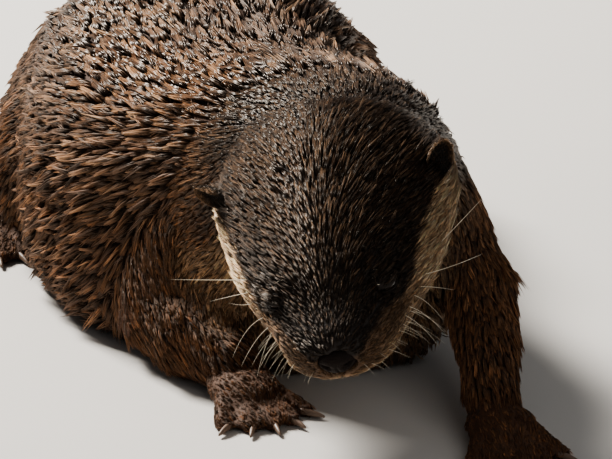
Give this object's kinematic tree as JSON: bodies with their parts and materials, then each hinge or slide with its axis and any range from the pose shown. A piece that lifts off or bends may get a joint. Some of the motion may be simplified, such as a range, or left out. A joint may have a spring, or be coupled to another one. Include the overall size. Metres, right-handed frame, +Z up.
{
  "type": "asian small-clawed otter figure",
  "caption": "Life-size otter at rest on its belly, head bent down, forepaws forward, hind feet tucked beside the body, tail lying straight back.",
  "frame": {"origin": "middle of the bounding box's bottom, on the floor the animal lies on", "axes": "+Z up; the animal faces -Y, its tail runs to +Y, its left side is +X"},
  "size_m": [0.227, 0.574, 0.1096],
  "materials": {
    "coat_brown": "damp dark chocolate-brown guard hairs with paler, slightly glossy tips",
    "coat_pale": "short buff-cream fur of the cheeks, lips and throat",
    "coat_feet": "very short thin brown fur over the toes",
    "nose_pad": "bare moist near-black pebbled skin",
    "eye": "wet, near-black dark brown",
    "claw": "short blunt translucent brown horn"
  },
  "bodies": {
    "root": {"head": "coat_brown", "jaw": "coat_pale", "nose": "nose_pad", "eye_left": "eye", "eye_right": "eye", "ear_left": "coat_brown", "ear_right": "coat_brown", "neck": "coat_brown", "chest": "coat_brown", "loin": "coat_brown", "rump": "coat_brown", "tail_base": "coat_brown", "tail_middle": "coat_brown", "tail_tip": "coat_brown", "foreleg_left": "coat_brown", "forefoot_left": "coat_feet", "claw_fore_left_1": "claw", "claw_fore_left_2": "claw", "claw_fore_left_3": "claw", "claw_fore_left_4": "claw", "claw_fore_left_5": "claw", "foreleg_right": "coat_brown", "forefoot_right": "coat_feet", "claw_fore_right_1": "claw", "claw_fore_right_2": "claw", "claw_fore_right_3": "claw", "claw_fore_right_4": "claw", "claw_fore_right_5": "claw", "hindleg_left": "coat_brown", "hindfoot_left": "coat_feet", "claw_hind_left_1": "claw", "claw_hind_left_2": "claw", "claw_hind_left_3": "claw", "claw_hind_left_4": "claw", "claw_hind_left_5": "claw", "hindleg_right": "coat_brown", "hindfoot_right": "coat_feet", "claw_hind_right_1": "claw", "claw_hind_right_2": "claw", "claw_hind_right_3": "claw", "claw_hind_right_4": "claw", "claw_hind_right_5": "claw"}
  },
  "joints": []
}
